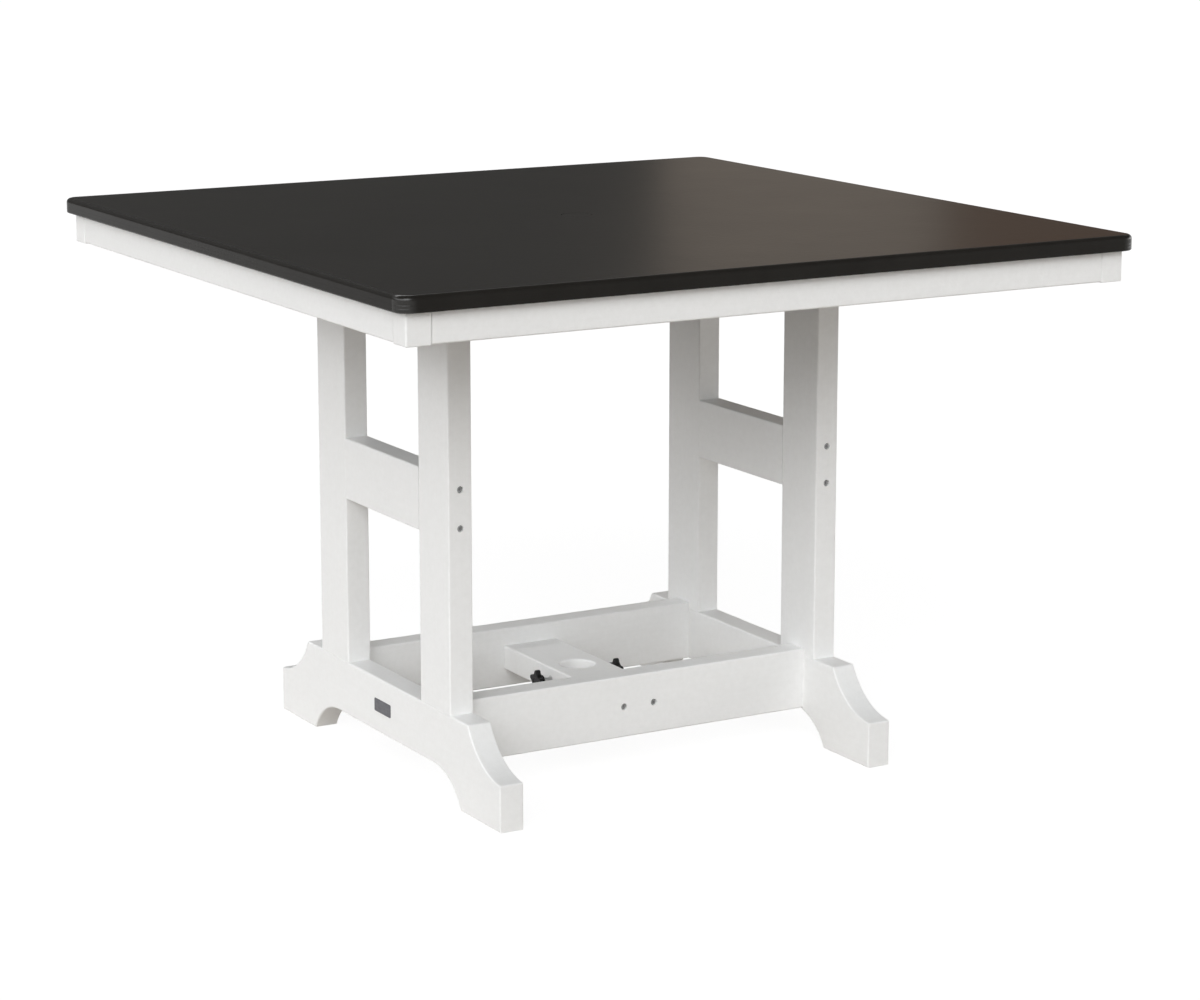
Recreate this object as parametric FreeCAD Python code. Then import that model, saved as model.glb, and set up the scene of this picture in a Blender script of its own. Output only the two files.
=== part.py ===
import FreeCAD, Part
import math
import os
from collections import defaultdict
from collections import namedtuple

# A square garden table of recycled-plastic boards: a dark top on a white apron frame, two trestles with
# shaped feet, two stretchers, and between them a block that grips an umbrella pole.
# All sizes are in millimetres. X runs along the stretchers from left to right, Y from front to rear and
# Z up. The origin is on the floor, under the middle of the top.

# Table top
TOP_LENGTH = 1117.6
TOP_WIDTH = 1117.6
TABLE_HEIGHT = 768.0
TOP_THICK = 22.0
TOP_CORNER_RADIUS = 20.0
TOP_EDGE_ROUND = 6.5
TOP_UNDER_ROUND = 2.5

# Umbrella plug and the stepped hole that it closes
PLUG_HEAD_RADIUS = 22.0
PLUG_HEAD_TALL = 8.0
PLUG_SPIGOT_RADIUS = 20.0
PLUG_WALL = 4.0
PLUG_ROUND = 0.8
PLUG_GAP = 0.3

# Boards of the trestles, stretchers and bearers
BOARD_THICK = 36.0
BOARD_WIDE = 88.9
BOARD_ROUND = 2.5

# Apron frame
APRON_INSET = 14.0
APRON_TALL = 42.0
APRON_THICK = 25.0
APRON_SET_BACK = 0.8
CORNER_SIZE = 36.0
CORNER_DROP = 0.8
CORNER_ROUND = 3.0

# Trestles
TRESTLE_SPACING = 591.4
POST_SPACING = 318.6
RAIL_HEIGHT = 412.0

# Foot outline
FOOT_LONG = 690.6
FOOT_TALL = 126.2
FOOT_TOP_FLAT = 507.8
TOE_TALL = 65.6
COVE_RADIUS = 109.0
ARCH_RISE = 47.2
ARCH_FLAT = 303.0
ARCH_RADIUS = 92.3
SHOULDER_ROUND = 4.0
TOE_ROUND = 2.5

# Umbrella block
SOCKET_RADIUS = 25.4
SOCKET_LIP = 3.0

# Clamp screws with star knobs, one on each side of the umbrella block
STEM_RADIUS = 4.0
STEM_FIT = 0.06
STEM_TIP_BACK = 0.6
STEM_TIP_ROUND = 1.5
STEM_IN_KNOB = 9.0
STEM_PASSAGE_GAP = 0.5
INSERT_RADIUS = 6.0
INSERT_LONG = 13.0
KNOB_STAND_OFF = 13.0
KNOB_HUB_RADIUS = 8.6
KNOB_HUB_LONG = 4.5
KNOB_HUB_FLARE = 0.8
KNOB_HUB_ROUND = 1.2
KNOB_RADIUS = 17.0
KNOB_THICK = 8.0
KNOB_LOBES = 5
KNOB_LOBE_RADIUS = 3.6
KNOB_SCALLOP_RADIUS = 8.0
KNOB_ROUND = 1.6
KNOB_DISH_RADIUS = 6.0
KNOB_DISH_DEEP = 0.8

# Tag plate on the left foot
TAG_LONG = 50.0
TAG_TALL = 18.8
TAG_THICK = 1.0
TAG_CORNER = 2.0
TAG_HEIGHT = 86.5
TAG_OFFSET = 4.0

# Screws and dowels
Screw = namedtuple("Screw", "head_radius head_tall shank_radius length socket_radius")
LONG_SCREW = Screw(4.5, 4.5, 3.0, 127.0, 2.2)
MIDDLE_SCREW = Screw(4.5, 4.5, 3.0, 90.0, 2.2)
SHORT_SCREW = Screw(4.5, 4.5, 2.5, 38.0, 2.2)
SCREW_TIP = 5.0
SCREW_HEAD_EDGE = 0.6
SCREW_SOCKET_DEEP = 2.5
SCREW_SOCKET_SIDES = 6
SCREW_GAP = 0.1
HEAD_GAP = 0.3
TIP_GAP = 1.0
DRILL_OVERRUN = 2.0
Dowel = namedtuple("Dowel", "radius length")
THIN_DOWEL = Dowel(4.0, 30.0)
THICK_DOWEL = Dowel(5.0, 44.0)
DOWEL_GAP = 0.1

# Places of the screws and dowels
FACE_SCREW_DEEP = 7.0
RAIL_SCREW_SPACING = 53.7
BLOCK_SCREW_SPACING = 48.6
FOOT_SCREW_SPACING = 40.0
FOOT_SCREW_DEEP = 20.0
POST_SCREW_SPACING = 40.0
POST_SCREW_DEEP = 6.0
TOP_SCREW_BITE = 14.0
TOP_SCREW_INWARD = 100.0
TOP_SCREW_OUTWARD = 200.0
APRON_SCREW_FROM_END = 110.0
APRON_DOWEL_STAGGER = 18.0
BEARER_DOWEL_SPACING = 46.0
STRETCHER_DOWEL_ABOVE_ARCH = 20.45
STRETCHER_DOWEL_BELOW_TOP = 10.55

# Axes, sides and the tolerance for finding edges
Vector = FreeCAD.Vector
X_AXIS = Vector(1, 0, 0)
Y_AXIS = Vector(0, 1, 0)
Z_AXIS = Vector(0, 0, 1)
SIDES = {"left": -1, "right": 1}
ENDS = {"front": -1, "rear": 1}
TINY = 1e-6

# Places worked out from the sizes above
TOP_BOTTOM = TABLE_HEIGHT - TOP_THICK
BEARER_BOTTOM = TOP_BOTTOM - BOARD_THICK
APRON_BOTTOM = TOP_BOTTOM - APRON_TALL
TRESTLE_X = TRESTLE_SPACING / 2
POST_Y = POST_SPACING / 2
POST_INNER_Y = POST_Y - BOARD_WIDE / 2
POST_OUTER_Y = POST_Y + BOARD_WIDE / 2
STRETCHER_END_X = TRESTLE_X - BOARD_THICK / 2
STRETCHER_MIDDLE_Z = ARCH_RISE + BOARD_WIDE / 2
FOOT_JOINT_TOP = min(FOOT_TALL, ARCH_RISE + BOARD_WIDE)
BLOCK_END_Y = POST_Y - BOARD_THICK / 2
BLOCK_SIDE_X = BOARD_WIDE / 2
CORNER_OUTER_X = TOP_LENGTH / 2 - APRON_INSET
CORNER_OUTER_Y = TOP_WIDTH / 2 - APRON_INSET
APRON_END_X = CORNER_OUTER_X - CORNER_SIZE
APRON_END_Y = CORNER_OUTER_Y - CORNER_SIZE
APRON_MIDDLE_X = CORNER_OUTER_X - APRON_SET_BACK - APRON_THICK / 2
APRON_MIDDLE_Y = CORNER_OUTER_Y - APRON_SET_BACK - APRON_THICK / 2
APRON_INNER_Y = APRON_MIDDLE_Y - APRON_THICK / 2

shapes = {}
fasteners = defaultdict(list)
cuts = defaultdict(list)


# General helpers

def around(middle, size):
    """The two ends of a size that is centred on a middle."""
    return middle - size / 2, middle + size / 2


def between(first, second):
    """The two values in rising order."""
    return min(first, second), max(first, second)


def span_box(x_span, y_span, z_span):
    """A box given by its two ends on each axis."""
    sizes = [span[1] - span[0] for span in (x_span, y_span, z_span)]
    return Part.makeBox(*sizes, Vector(x_span[0], y_span[0], z_span[0]))


def edges_along(shape, axis):
    """The straight edges of a shape that run along an axis."""
    return [edge for edge in shape.Edges
            if isinstance(edge.Curve, Part.Line) and edge.Curve.Direction.cross(axis).Length < TINY]


def edges_in_plane(shape, axis, level):
    """The edges of a shape that lie in the plane square to an axis at a level."""
    return [edge for edge in shape.Edges
            if all(abs(point.dot(axis) - level) < TINY for point in edge.discretize(Number=5))]


def board(x_span, y_span, z_span, grain):
    """A board with its four long edges rounded, grain being the axis that it runs along."""
    blank = span_box(x_span, y_span, z_span)
    return blank.makeFillet(BOARD_ROUND, edges_along(blank, grain))


def turned(outline):
    """A solid turned about Z from an outline of (radius, height) points."""
    corners = [Vector(radius, 0, height) for radius, height in outline]
    face = Part.Face(Part.makePolygon(corners + corners[:1]))
    return face.revolve(Vector(), Z_AXIS, 360)


def aimed(shape, place, direction):
    """A copy of a shape that points down Z, turned to point in a direction and moved to a place."""
    copy = shape.copy()
    copy.Placement = FreeCAD.Placement(place, FreeCAD.Rotation(-Z_AXIS, direction))
    return copy


def arc_edge(start, middle, end):
    """An arc through three points."""
    return Part.Arc(start, middle, end).toShape()


# Screws and dowels

def screw_body(kind):
    """A screw pointing down Z, with the underside of its head at the origin and a six-sided socket."""
    body = turned([
        (0, kind.head_tall),
        (kind.head_radius - SCREW_HEAD_EDGE, kind.head_tall),
        (kind.head_radius, kind.head_tall - SCREW_HEAD_EDGE),
        (kind.head_radius, 0),
        (kind.shank_radius, 0),
        (kind.shank_radius, SCREW_TIP - kind.length),
        (0, -kind.length),
    ])
    turns = [2 * math.pi * side / SCREW_SOCKET_SIDES for side in range(SCREW_SOCKET_SIDES)]
    corners = [Vector(math.cos(turn), math.sin(turn), 0) * kind.socket_radius + Z_AXIS * kind.head_tall
               for turn in turns]
    socket = Part.Face(Part.makePolygon(corners + corners[:1])).extrude(-Z_AXIS * SCREW_SOCKET_DEEP)
    return body.cut(socket)


def drive_screw(node, kind, seat, direction, recess, boards):
    """Put a screw with its head on a seat, and cut its counterbored hole in the boards that it joins."""
    fasteners[node].append(aimed(screw_body(kind), seat, direction))
    shank = Part.makeCylinder(kind.shank_radius + SCREW_GAP, kind.length + TIP_GAP, Vector(), -Z_AXIS)
    mouth = Part.makeCylinder(kind.head_radius + HEAD_GAP, recess)
    cutter = aimed(shank.fuse(mouth), seat, direction)
    for name in boards:
        cuts[name].append(cutter)


def drive_dowel(node, kind, middle, direction, boards):
    """Put a dowel across a joint, and cut its hole in the boards on both sides."""
    pin = Part.makeCylinder(kind.radius, kind.length, Vector(0, 0, -kind.length / 2))
    fasteners[node].append(aimed(pin, middle, direction))
    hole_long = kind.length + 2 * TIP_GAP
    hole = Part.makeCylinder(kind.radius + DOWEL_GAP, hole_long, Vector(0, 0, -hole_long / 2))
    for name in boards:
        cuts[name].append(aimed(hole, middle, direction))


# Table top and plug

def make_top():
    """The slab with rounded corners and edges, and its stepped umbrella hole."""
    slab = span_box(around(0, TOP_LENGTH), around(0, TOP_WIDTH), (TOP_BOTTOM, TABLE_HEIGHT))
    slab = slab.makeFillet(TOP_CORNER_RADIUS, edges_along(slab, Z_AXIS))
    slab = slab.makeFillet(TOP_EDGE_ROUND, edges_in_plane(slab, Z_AXIS, TABLE_HEIGHT))
    slab = slab.makeFillet(TOP_UNDER_ROUND, edges_in_plane(slab, Z_AXIS, TOP_BOTTOM))
    ledge = TABLE_HEIGHT - PLUG_HEAD_TALL
    head_bore = Part.makeCylinder(PLUG_HEAD_RADIUS + PLUG_GAP, PLUG_HEAD_TALL + DRILL_OVERRUN,
                                  Vector(0, 0, ledge))
    through_bore = Part.makeCylinder(PLUG_SPIGOT_RADIUS + PLUG_GAP, TOP_THICK + DRILL_OVERRUN,
                                     Vector(0, 0, TOP_BOTTOM - DRILL_OVERRUN))
    shapes["table_top"] = slab.cut([head_bore, through_bore])


def make_plug():
    """The plug that closes the umbrella hole flush with the top, hollow from below."""
    plug = turned([
        (0, TABLE_HEIGHT),
        (PLUG_HEAD_RADIUS, TABLE_HEIGHT),
        (PLUG_HEAD_RADIUS, TABLE_HEIGHT - PLUG_HEAD_TALL),
        (PLUG_SPIGOT_RADIUS, TABLE_HEIGHT - PLUG_HEAD_TALL),
        (PLUG_SPIGOT_RADIUS, TOP_BOTTOM),
        (PLUG_SPIGOT_RADIUS - PLUG_WALL, TOP_BOTTOM),
        (PLUG_SPIGOT_RADIUS - PLUG_WALL, TABLE_HEIGHT - PLUG_HEAD_TALL),
        (0, TABLE_HEIGHT - PLUG_HEAD_TALL),
    ])
    shapes["umbrella_plug"] = plug.makeFillet(PLUG_ROUND, edges_in_plane(plug, Z_AXIS, TABLE_HEIGHT))


# Apron frame

def make_corner_blocks():
    """The four blocks at the corners of the apron, with their outer upright and lower edges rounded."""
    for side, sx in SIDES.items():
        for end, sy in ENDS.items():
            block = span_box(between(sx * APRON_END_X, sx * CORNER_OUTER_X),
                             between(sy * APRON_END_Y, sy * CORNER_OUTER_Y),
                             (APRON_BOTTOM - CORNER_DROP, TOP_BOTTOM))
            block = block.makeFillet(CORNER_ROUND, edges_along(block, Z_AXIS))
            lower_edges = edges_in_plane(block, Z_AXIS, APRON_BOTTOM - CORNER_DROP)
            shapes[f"corner_block_{end}_{side}"] = block.makeFillet(CORNER_ROUND / 2, lower_edges)


def make_aprons():
    """The four apron boards between the corner blocks, with the screws that hold them to the top."""
    z_span = (APRON_BOTTOM, TOP_BOTTOM)
    seat_z = TOP_BOTTOM + TOP_SCREW_BITE - SHORT_SCREW.length
    recess = seat_z - APRON_BOTTOM + DRILL_OVERRUN
    for end, sy in ENDS.items():
        name = f"apron_{end}"
        shapes[name] = board(around(0, 2 * APRON_END_X), around(sy * APRON_MIDDLE_Y, APRON_THICK),
                             z_span, X_AXIS)
        for x in around(0, 2 * (APRON_END_X - APRON_SCREW_FROM_END)):
            seat = Vector(x, sy * APRON_MIDDLE_Y, seat_z)
            drive_screw("apron_screws", SHORT_SCREW, seat, Z_AXIS, recess, [name, "table_top"])
    for side, sx in SIDES.items():
        name = f"apron_{side}"
        shapes[name] = board(around(sx * APRON_MIDDLE_X, APRON_THICK), around(0, 2 * APRON_END_Y),
                             z_span, Y_AXIS)
        for y in around(0, 2 * (APRON_END_Y - APRON_SCREW_FROM_END)):
            seat = Vector(sx * APRON_MIDDLE_X, y, seat_z)
            drive_screw("apron_screws", SHORT_SCREW, seat, Z_AXIS, recess, [name, "table_top"])


def join_corners():
    """A dowel from each apron end into its corner block, at two heights so that they pass each other."""
    middle_z = (APRON_BOTTOM + TOP_BOTTOM) / 2
    for side, sx in SIDES.items():
        for end, sy in ENDS.items():
            block = f"corner_block_{end}_{side}"
            along_x = Vector(sx * APRON_END_X, sy * APRON_MIDDLE_Y, middle_z + APRON_DOWEL_STAGGER / 2)
            along_y = Vector(sx * APRON_MIDDLE_X, sy * APRON_END_Y, middle_z - APRON_DOWEL_STAGGER / 2)
            drive_dowel("apron_dowels", THIN_DOWEL, along_x, X_AXIS, [block, f"apron_{end}"])
            drive_dowel("apron_dowels", THIN_DOWEL, along_y, Y_AXIS, [block, f"apron_{side}"])


def make_bearers():
    """The flat boards that lie on the posts, span the apron frame and carry the top."""
    underside_seat = TOP_BOTTOM + TOP_SCREW_BITE - SHORT_SCREW.length
    underside_recess = underside_seat - BEARER_BOTTOM + DRILL_OVERRUN
    for side, sx in SIDES.items():
        name = f"{side}_bearer"
        shapes[name] = board(around(sx * TRESTLE_X, BOARD_WIDE), around(0, 2 * APRON_INNER_Y),
                             (BEARER_BOTTOM, TOP_BOTTOM), Y_AXIS)
        for end, sy in ENDS.items():
            for y in (POST_Y - TOP_SCREW_INWARD, POST_Y + TOP_SCREW_OUTWARD):
                seat = Vector(sx * TRESTLE_X, sy * y, underside_seat)
                drive_screw("top_screws", SHORT_SCREW, seat, Z_AXIS, underside_recess, [name, "table_top"])
            for y in around(POST_Y, POST_SCREW_SPACING):
                seat = Vector(sx * TRESTLE_X, sy * y, TOP_BOTTOM - POST_SCREW_DEEP)
                drive_screw("post_screws", MIDDLE_SCREW, seat, -Z_AXIS, POST_SCREW_DEEP + DRILL_OVERRUN,
                            [name, f"{side}_{end}_post"])
            for x in around(sx * TRESTLE_X, BEARER_DOWEL_SPACING):
                middle = Vector(x, sy * APRON_INNER_Y, TOP_BOTTOM - BOARD_THICK / 2)
                drive_dowel("bearer_dowels", THIN_DOWEL, middle, Y_AXIS, [name, f"apron_{end}"])


# Trestles

def foot_outline():
    """The outline of a foot in the YZ plane: coves from top to toes and an arch between two pads."""
    cove_run = (FOOT_LONG - FOOT_TOP_FLAT) / 2
    cove_fall = FOOT_TALL - TOE_TALL
    cove_chord = math.hypot(cove_run, cove_fall)
    cove_sag = COVE_RADIUS - math.sqrt(COVE_RADIUS ** 2 - (cove_chord / 2) ** 2)
    arch_z = ARCH_RISE - ARCH_RADIUS
    pad_y = ARCH_FLAT / 2 + math.sqrt(ARCH_RADIUS ** 2 - arch_z ** 2)
    arch_half = (math.pi / 2 + math.atan2(-arch_z, pad_y - ARCH_FLAT / 2)) / 2

    def point(sign, y, z):
        return Vector(0, sign * y, z)

    def half_edges(sign):
        toe_bottom = point(sign, FOOT_LONG / 2, 0)
        toe_top = point(sign, FOOT_LONG / 2, TOE_TALL)
        cove_mid = point(sign, (FOOT_TOP_FLAT + cove_run) / 2 - cove_sag * cove_fall / cove_chord,
                         (FOOT_TALL + TOE_TALL) / 2 - cove_sag * cove_run / cove_chord)
        shoulder = point(sign, FOOT_TOP_FLAT / 2, FOOT_TALL)
        pad = point(sign, pad_y, 0)
        arch_mid = point(sign, ARCH_FLAT / 2 + ARCH_RADIUS * math.cos(arch_half),
                         arch_z + ARCH_RADIUS * math.sin(arch_half))
        arch_high = point(sign, ARCH_FLAT / 2, ARCH_RISE)
        return [
            arc_edge(arch_high, arch_mid, pad),
            Part.makeLine(pad, toe_bottom),
            Part.makeLine(toe_bottom, toe_top),
            arc_edge(toe_top, cove_mid, shoulder),
        ]

    top_line = Part.makeLine(point(-1, FOOT_TOP_FLAT / 2, FOOT_TALL), point(1, FOOT_TOP_FLAT / 2, FOOT_TALL))
    arch_line = Part.makeLine(point(-1, ARCH_FLAT / 2, ARCH_RISE), point(1, ARCH_FLAT / 2, ARCH_RISE))
    return Part.Wire(Part.__sortEdges__(half_edges(-1) + [top_line] + half_edges(1) + [arch_line]))


def edges_across_foot(foot, y, z):
    """The two edges across a foot at a height, as far to the front as to the rear."""
    return [edge for edge in edges_along(foot, X_AXIS)
            if abs(edge.CenterOfMass.z - z) < TINY and abs(abs(edge.CenterOfMass.y) - y) < TINY]


def make_feet():
    """The two shaped feet, each cut from a plank, with all their outline edges rounded."""
    for side, sx in SIDES.items():
        low_x, high_x = around(sx * TRESTLE_X, BOARD_THICK)
        foot = Part.Face(foot_outline()).extrude(X_AXIS * BOARD_THICK)
        foot.translate(X_AXIS * low_x)
        foot = foot.makeFillet(TOE_ROUND, edges_across_foot(foot, FOOT_LONG / 2, TOE_TALL))
        foot = foot.makeFillet(SHOULDER_ROUND, edges_across_foot(foot, FOOT_TOP_FLAT / 2, FOOT_TALL))
        outline_edges = edges_in_plane(foot, X_AXIS, low_x) + edges_in_plane(foot, X_AXIS, high_x)
        shapes[f"{side}_foot"] = foot.makeFillet(BOARD_ROUND, outline_edges)


def make_posts():
    """The four posts, with the screws that come up through the feet into them."""
    seat_z = ARCH_RISE + FOOT_SCREW_DEEP
    for side, sx in SIDES.items():
        for end, sy in ENDS.items():
            name = f"{side}_{end}_post"
            shapes[name] = board(around(sx * TRESTLE_X, BOARD_THICK), around(sy * POST_Y, BOARD_WIDE),
                                 (FOOT_TALL, BEARER_BOTTOM), Z_AXIS)
            for y in around(POST_Y, FOOT_SCREW_SPACING):
                seat = Vector(sx * TRESTLE_X, sy * y, seat_z)
                drive_screw("foot_screws", LONG_SCREW, seat, Z_AXIS, seat_z, [f"{side}_foot", name])


def make_rails():
    """The rails between the posts, with two screws through each post into their ends."""
    for side, sx in SIDES.items():
        name = f"{side}_mid_rail"
        shapes[name] = board(around(sx * TRESTLE_X, BOARD_THICK), around(0, 2 * POST_INNER_Y),
                             around(RAIL_HEIGHT, BOARD_WIDE), Y_AXIS)
        for end, sy in ENDS.items():
            for z in around(RAIL_HEIGHT, RAIL_SCREW_SPACING):
                seat = Vector(sx * TRESTLE_X, sy * (POST_OUTER_Y - FACE_SCREW_DEEP), z)
                drive_screw("rail_screws", LONG_SCREW, seat, -sy * Y_AXIS, FACE_SCREW_DEEP + DRILL_OVERRUN,
                            [f"{side}_{end}_post", name])


# Stretchers and umbrella block

def make_stretchers():
    """The two stretchers on edge between the feet, on dowels, with the screws into the umbrella block."""
    for end, sy in ENDS.items():
        name = f"{end}_stretcher"
        shapes[name] = board(around(0, 2 * STRETCHER_END_X), around(sy * POST_Y, BOARD_THICK),
                             around(STRETCHER_MIDDLE_Z, BOARD_WIDE), X_AXIS)
        for side, sx in SIDES.items():
            for z in (ARCH_RISE + STRETCHER_DOWEL_ABOVE_ARCH, FOOT_JOINT_TOP - STRETCHER_DOWEL_BELOW_TOP):
                middle = Vector(sx * STRETCHER_END_X, sy * POST_Y, z)
                drive_dowel("stretcher_dowels", THICK_DOWEL, middle, X_AXIS, [name, f"{side}_foot"])
        for x in around(0, BLOCK_SCREW_SPACING):
            seat = Vector(x, sy * (POST_Y + BOARD_THICK / 2 - FACE_SCREW_DEEP), STRETCHER_MIDDLE_Z)
            drive_screw("block_screws", MIDDLE_SCREW, seat, -sy * Y_AXIS, FACE_SCREW_DEEP + DRILL_OVERRUN,
                        [name, "umbrella_block"])


def make_block():
    """The board laid flat between the stretchers, with the umbrella socket and two clamp passages."""
    z_span = around(STRETCHER_MIDDLE_Z, BOARD_THICK)
    block = board(around(0, BOARD_WIDE), around(0, 2 * BLOCK_END_Y), z_span, Y_AXIS)
    block = block.cut(Part.makeCylinder(SOCKET_RADIUS, BOARD_THICK, Vector(0, 0, z_span[0])))
    lips = [edge for level in z_span for edge in edges_in_plane(block, Z_AXIS, level)
            if isinstance(edge.Curve, Part.Circle)]
    block = block.makeFillet(SOCKET_LIP, lips)
    for sx in SIDES.values():
        mouth = Vector(sx * BLOCK_SIDE_X, 0, STRETCHER_MIDDLE_Z)
        passage = Part.makeCylinder(STEM_RADIUS + STEM_PASSAGE_GAP, BLOCK_SIDE_X, mouth, -sx * X_AXIS)
        insert_seat = Part.makeCylinder(INSERT_RADIUS + SCREW_GAP, INSERT_LONG, mouth, -sx * X_AXIS)
        block = block.cut([passage, insert_seat])
    shapes["umbrella_block"] = block


# Clamp screws, made along Z with the block's face at the origin and the knob above it

def star_outline(height):
    """The outline of the star knob: round lobes joined by tangent hollows."""
    step = 2 * math.pi / KNOB_LOBES
    reach = KNOB_RADIUS - KNOB_LOBE_RADIUS
    touch = KNOB_LOBE_RADIUS + KNOB_SCALLOP_RADIUS
    hollow = reach * math.cos(step / 2) + math.sqrt(touch ** 2 - (reach * math.sin(step / 2)) ** 2)

    def polar(radius, angle):
        return Vector(radius * math.cos(angle), radius * math.sin(angle), height)

    edges = []
    for lobe in range(KNOB_LOBES):
        angle = lobe * step
        centre = polar(reach, angle)
        joints = []
        for sign in (-1, 1):
            away = polar(hollow, angle + sign * step / 2) - centre
            joints.append(centre + away * (KNOB_LOBE_RADIUS / touch))
        edges.append(arc_edge(joints[0], polar(KNOB_RADIUS, angle), joints[1]))
        following = polar(reach, angle + step)
        back = polar(hollow, angle + step / 2) - following
        next_joint = following + back * (KNOB_LOBE_RADIUS / touch)
        edges.append(arc_edge(joints[1], polar(hollow - KNOB_SCALLOP_RADIUS, angle + step / 2), next_joint))
    return Part.Wire(edges)


def knob_body():
    """A star knob on its hub, with a blind hole for the stem and a shallow dish in its end."""
    star_low = KNOB_STAND_OFF + KNOB_HUB_LONG
    star_high = star_low + KNOB_THICK
    star = Part.Face(star_outline(star_low)).extrude(Z_AXIS * KNOB_THICK)
    rims = edges_in_plane(star, Z_AXIS, star_low) + edges_in_plane(star, Z_AXIS, star_high)
    star = star.makeFillet(KNOB_ROUND, rims)
    hub = Part.makeCone(KNOB_HUB_RADIUS, KNOB_HUB_RADIUS + KNOB_HUB_FLARE, KNOB_HUB_LONG + KNOB_ROUND,
                        Vector(0, 0, KNOB_STAND_OFF))
    hub = hub.makeFillet(KNOB_HUB_ROUND, edges_in_plane(hub, Z_AXIS, KNOB_STAND_OFF))
    dish = turned([
        (0, star_high - KNOB_DISH_DEEP),
        (KNOB_DISH_RADIUS - KNOB_DISH_DEEP, star_high - KNOB_DISH_DEEP),
        (KNOB_DISH_RADIUS + KNOB_DISH_DEEP, star_high + KNOB_DISH_DEEP),
        (0, star_high + KNOB_DISH_DEEP),
    ])
    bore = Part.makeCylinder(STEM_RADIUS + STEM_FIT, STEM_IN_KNOB, Vector(0, 0, KNOB_STAND_OFF))
    return star.fuse(hub).cut([dish, bore])


def stem_body():
    """The plain stem of a clamp screw, from its rounded tip beside the socket to inside the knob."""
    tip = SOCKET_RADIUS + STEM_TIP_BACK - BLOCK_SIDE_X
    rod = Part.makeCylinder(STEM_RADIUS, KNOB_STAND_OFF + STEM_IN_KNOB - tip, Vector(0, 0, tip))
    return rod.makeFillet(STEM_TIP_ROUND, edges_in_plane(rod, Z_AXIS, tip))


def insert_body():
    """The flush threaded insert that the stem runs in."""
    sleeve = Part.makeCylinder(INSERT_RADIUS, INSERT_LONG, Vector(0, 0, -INSERT_LONG))
    return sleeve.cut(Part.makeCylinder(STEM_RADIUS + STEM_FIT, INSERT_LONG, Vector(0, 0, -INSERT_LONG)))


def make_clamps():
    """The knob, stem and insert on each side of the block, with a lobe of each knob straight up."""
    bodies = {"knob": knob_body(), "clamp_stem": stem_body(), "threaded_insert": insert_body()}
    for side, sx in SIDES.items():
        face = Vector(sx * BLOCK_SIDE_X, 0, STRETCHER_MIDDLE_Z)
        outward = FreeCAD.Rotation(Z_AXIS, Vector(), sx * X_AXIS, "ZXY")
        for name, body in bodies.items():
            placed = body.copy()
            placed.Placement = FreeCAD.Placement(face, outward)
            shapes[f"{side}_{name}"] = placed


# Tag plate

def make_tag():
    """The bare plate on the outer face of the left foot."""
    outer_x = -TRESTLE_X - BOARD_THICK / 2
    plate = span_box((outer_x - TAG_THICK, outer_x), around(TAG_OFFSET, TAG_LONG),
                     around(TAG_HEIGHT, TAG_TALL))
    shapes["tag_plate"] = plate.makeFillet(TAG_CORNER, edges_along(plate, X_AXIS))


def main():
    """Make every piece, cut the holes of the fasteners, and write one file for each node."""
    make_top()
    make_plug()
    make_corner_blocks()
    make_aprons()
    join_corners()
    make_bearers()
    make_feet()
    make_posts()
    make_rails()
    make_stretchers()
    make_block()
    make_clamps()
    make_tag()
    for name, cutters in cuts.items():
        shapes[name] = shapes[name].cut(cutters)
    for name, solids in fasteners.items():
        shapes[name] = Part.makeCompound(solids)
    os.makedirs("parts", exist_ok=True)
    for name, shape in shapes.items():
        shape.exportStep(f"parts/{name}.step")


main()
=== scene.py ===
import logging
import math
from dataclasses import dataclass
from enum import Enum
from typing import Callable

import bmesh
import bpy
from mathutils import Matrix, Vector


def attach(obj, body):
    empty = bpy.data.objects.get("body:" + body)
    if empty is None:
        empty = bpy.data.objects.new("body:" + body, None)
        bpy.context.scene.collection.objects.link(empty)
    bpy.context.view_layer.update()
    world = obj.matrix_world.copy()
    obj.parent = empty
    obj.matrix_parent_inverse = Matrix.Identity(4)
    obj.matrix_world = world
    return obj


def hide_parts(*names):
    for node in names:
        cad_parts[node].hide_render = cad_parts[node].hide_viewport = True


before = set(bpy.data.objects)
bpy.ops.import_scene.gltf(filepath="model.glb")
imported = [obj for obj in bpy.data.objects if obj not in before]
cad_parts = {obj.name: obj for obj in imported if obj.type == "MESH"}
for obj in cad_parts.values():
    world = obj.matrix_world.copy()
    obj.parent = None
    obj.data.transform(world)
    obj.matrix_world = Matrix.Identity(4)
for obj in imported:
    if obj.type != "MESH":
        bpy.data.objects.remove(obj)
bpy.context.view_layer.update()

# The looks of a square garden table: a dark slab on a white board frame, two trestles with shaped
# feet, and a block between the stretchers that grips an umbrella pole. Sizes are in metres, in the
# CAD's frame.

LOG = logging.getLogger("garden_table")

Colour = tuple[float, float, float]
Place = tuple[float, float, float]
Span = tuple[float, float]
Piece = bpy.types.Object
Socket = bpy.types.NodeSocket
Material = bpy.types.Material

# Points closer than MERGE are one point. Heights closer than SAME, or NEAR after a cut, are equal.
MERGE = 1e-7
SAME = 1e-6
NEAR = 1e-5
# The part of a direction along an axis: below LEVEL it lies across the axis, above ALONG it runs
# along it, and faces above FACING and FLAT look along it ever more exactly.
LEVEL = 1e-3
ALONG = 0.9
FACING = 0.99
FLAT = 0.9999
# The profile of a bevel that is an arc of a circle.
ARC = 0.5
# The part of a noise's range in which most of its values lie.
MOST: Span = (0.3, 0.7)


class Grain(Enum):
    """The axis that a board's length runs along."""

    ALONG_X = 0
    ALONG_Y = 1
    ALONG_Z = 2


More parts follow.
